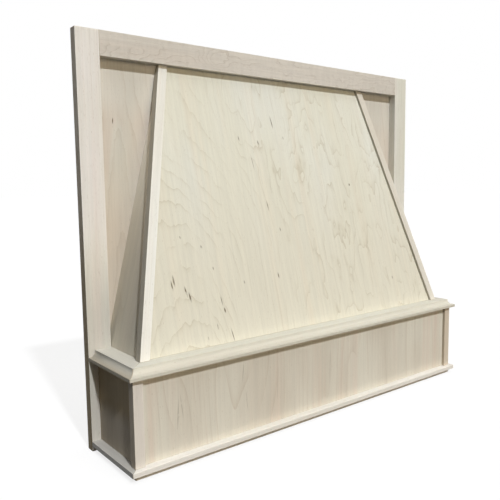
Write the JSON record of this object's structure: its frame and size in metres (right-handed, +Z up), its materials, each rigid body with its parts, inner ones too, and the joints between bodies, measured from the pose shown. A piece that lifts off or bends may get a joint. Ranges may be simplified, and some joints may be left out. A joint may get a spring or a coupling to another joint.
{
  "type": "wooden range hood cover",
  "caption": "Unfinished maple range hood cover: face frame with wing panels, hood front sloping back between leaning posts, coved shelf and box below, open at back and bottom.",
  "frame": {"origin": "on the back face of the top rail, on the centre line, half-way up the 1 inch band above the top cleat that bears on the support behind", "axes": "+X to the right as seen from the front, +Y backwards into the cabinet run, +Z up"},
  "size_m": [0.9144, 0.2003, 0.762],
  "materials": {
    "frame_maple": "sanded, unfinished solid maple",
    "post_maple": "sanded, unfinished solid maple",
    "panel_maple": "sanded, unfinished maple plywood",
    "moulding_maple": "machined, unfinished solid maple",
    "cleat_wood": "rough-sawn, unfinished",
    "screw_zinc": "zinc plated"
  },
  "bodies": {
    "root": {"left_stile": "frame_maple", "right_stile": "frame_maple", "top_rail": "frame_maple", "rail_screw_left_lower": "screw_zinc", "rail_screw_left_upper": "screw_zinc", "rail_screw_right_lower": "screw_zinc", "rail_screw_right_upper": "screw_zinc", "left_wing_panel": "panel_maple", "right_wing_panel": "panel_maple", "sloped_front_panel": "panel_maple", "left_upper_post": "post_maple", "right_upper_post": "post_maple", "left_upper_side_panel": "panel_maple", "right_upper_side_panel": "panel_maple", "left_upper_corner_block": "cleat_wood", "right_upper_corner_block": "cleat_wood", "left_wing_cleat": "cleat_wood", "right_wing_cleat": "cleat_wood", "panel_top_cleat": "cleat_wood", "front_sill_cleat": "cleat_wood", "left_sill_cleat": "cleat_wood", "right_sill_cleat": "cleat_wood", "shelf_front_moulding": "moulding_maple", "shelf_left_moulding": "moulding_maple", "shelf_right_moulding": "moulding_maple", "shelf_front_nailer": "cleat_wood", "shelf_left_nailer": "cleat_wood", "shelf_right_nailer": "cleat_wood", "lower_front_panel": "panel_maple", "left_lower_side_panel": "panel_maple", "right_lower_side_panel": "panel_maple", "left_lower_post": "post_maple", "right_lower_post": "post_maple", "left_lower_corner_block": "cleat_wood", "right_lower_corner_block": "cleat_wood", "left_stile_cleat": "cleat_wood", "right_stile_cleat": "cleat_wood", "base_front_moulding": "moulding_maple", "base_left_moulding": "moulding_maple", "base_right_moulding": "moulding_maple", "liner_front_cleat": "cleat_wood", "liner_left_cleat": "cleat_wood", "liner_right_cleat": "cleat_wood"}
  },
  "joints": []
}
